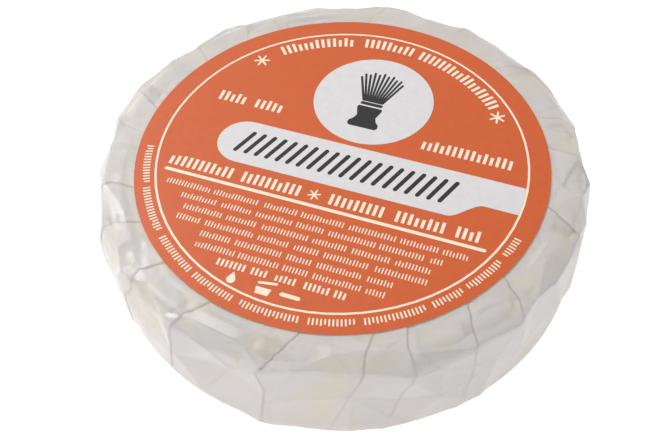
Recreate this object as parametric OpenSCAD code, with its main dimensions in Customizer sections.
// Wrapped shaving soap puck: a pressed round soap, folded into one round sheet of
// waxed paper that is pleated up the side and closed on top by a round label.
// The origin is the centre of the underside, +Z is up.

/* [Soap] */
// Diameter of the pressed soap
soap_d = 70; // [50:1:100]
// Height of the pressed soap
soap_h = 17; // [10:0.5:36]
// Rounding of the soap's top edge
soap_top_round = 2; // [1:0.2:4.6]
// Rounding of the soap's bottom edge
soap_foot_round = 2; // [1:0.2:4.6]

/* [Wrapper] */
// Thickness of the waxed paper
paper_t = 0.06; // [0.04:0.01:0.15]
// How far the paper stands off the soap's side
side_gap = 0.3; // [0.05:0.05:1]
// How far a folded pleat stands proud of the side
side_pleat_t = 0.8; // [0.2:0.05:1.2]
// Height of the pleats where the label presses them flat
top_pleat_t = 0.3; // [0.15:0.05:0.8]
// Number of pleats round the puck
pleats = 20; // [12:2:30]
// Share of a pleat's pitch over which its folded edge drops back to the sheet
pleat_drop = 0.1; // [0.05:0.01:0.3]
// Diameter of the middle that the ends of the sheet leave open
open_d = 30; // [16:1:34]

/* [Label] */
// Bare wrapper between the label's edge and the soap's side
label_inset = 5; // [3:0.5:8]
// Thickness of the label's face paper
label_t = 0.1; // [0.06:0.01:0.25]
// Thickness of the adhesive under the label
adhesive_t = 0.03; // [0.02:0.01:0.1]

/* [Hidden] */
$fn = 120;

soap_r = soap_d / 2;
soap_z = paper_t;                               // the soap lies on the sheet
soap_top = soap_z + soap_h;
inner_r = soap_r + side_gap;                    // inside of the paper
skin_r = inner_r + paper_t;                     // outside, where one layer lies
skin_top = soap_top + paper_t;
skin_top_round = soap_top_round + paper_t;
skin_foot_round = soap_foot_round + paper_t;
pleat_top = skin_top + top_pleat_t;
open_r = open_d / 2;
label_r = soap_r - label_inset;
adhesive_z = pleat_top;                         // the label is stuck to the pleats
label_z = adhesive_z + adhesive_t;

// One pleat across its pitch: [share of the pitch, share of its full height]
pleat_steps = [[0, 0], [0.3, 0.35], [0.6, 0.75], [1 - pleat_drop, 1]];
pleat_points = [for (i = [0 : pleats - 1], step = pleat_steps)
    [(i + step[0]) * 360 / pleats, step[1]]];

// Points round a corner between two angles, set so that their chords touch it
function corner(r, z, round, from, to, count) =
    [for (i = [0 : count - 1])
        let (step = (to - from) / count, a = from + (i + 0.5) * step)
            [r + round / cos(step / 2) * cos(a), z + round / cos(step / 2) * sin(a), a]];

// The widest chord of a pleat, for keeping the flat chords off the soap
chord = max([for (i = [1 : len(pleat_steps) - 1]) pleat_steps[i][0] - pleat_steps[i - 1][0]])
    * 360 / pleats;
chord_grow = 1 / cos(chord / 2);

// Rings of the sheet's outside, from the underside over the rim to the open
// middle: [radius, height, share of the side pleat, share of the top pleat]
outer_rings = concat(
    [for (p = corner(skin_r - skin_foot_round, skin_foot_round, skin_foot_round, -90, 0, 3))
        [p[0], p[1], 0, 0]],
    [for (p = corner(skin_r - skin_top_round, skin_top - skin_top_round, skin_top_round, 0, 90, 4))
        [p[0], p[1], 1, sin(p[2])]],
    [[label_r, skin_top, 0, 1], [open_r, skin_top, 0, 1]]
);

// Rings of its inside, back to the underside
inner_rings = concat(
    [[open_r, soap_top, 0, 0]],
    [for (p = corner(inner_r - soap_top_round, soap_top - soap_top_round, soap_top_round, 90, 0, 4))
        [p[0], p[1], 0, 0]],
    [for (p = corner(inner_r - soap_foot_round, soap_z + soap_foot_round, soap_foot_round, 0, -90, 3))
        [p[0], p[1], 0, 0]]
);

// Half outline of a round cake with rounded edges, to be turned about the axis
module cake_outline(r, low, high, top_round, foot_round) {
    translate([0, low]) square([r - foot_round, high - low]);
    translate([0, high - top_round]) square([r - top_round, top_round]);
    translate([0, low + foot_round]) square([r, high - low - foot_round - top_round]);
    translate([r - top_round, high - top_round]) circle(top_round);
    translate([r - foot_round, low + foot_round]) circle(foot_round);
}

// Pressed soap
module soap_puck() {
    color("wheat")
        rotate_extrude()
            cake_outline(soap_r, soap_z, soap_top, soap_top_round, soap_foot_round);
}

// The sheet round the soap, with a pleat laid over every pitch of its side and top
module wrapper_sheet() {
    rings = concat(outer_rings, inner_rings);
    across = len(pleat_points);
    last = (len(rings) - 1) * across;
    under = len(rings) * across;                // middle of the underside
    inside = under + 1;                         // middle of the inside's floor
    points = concat(
        [for (ring = rings, p = pleat_points)
            let (r = ring[0] * chord_grow + ring[2] * p[1] * side_pleat_t)
            [r * cos(p[0]), r * sin(p[0]), ring[1] + ring[3] * p[1] * top_pleat_t]],
        [[0, 0, 0], [0, 0, paper_t]]
    );
    faces = concat(
        [for (k = [0 : len(rings) - 2], i = [0 : across - 1], half = [0, 1])
            let (j = (i + 1) % across, a = k * across, b = a + across)
            half == 0 ? [a + i, b + i, b + j] : [a + i, b + j, a + j]],
        [for (i = [0 : across - 1]) [under, i, (i + 1) % across]],
        [for (i = [0 : across - 1]) [inside, last + (i + 1) % across, last + i]]
    );
    color("whitesmoke") polyhedron(points, faces);
}

// Adhesive that holds the gathered pleats down
module label_adhesive() {
    color("lemonchiffon")
        translate([0, 0, adhesive_z]) cylinder(h = adhesive_t, r = label_r);
}

// Printed face of the label
module label_paper() {
    color("chocolate")
        translate([0, 0, label_z]) cylinder(h = label_t, r = label_r);
}

soap_puck();
wrapper_sheet();
label_adhesive();
label_paper();
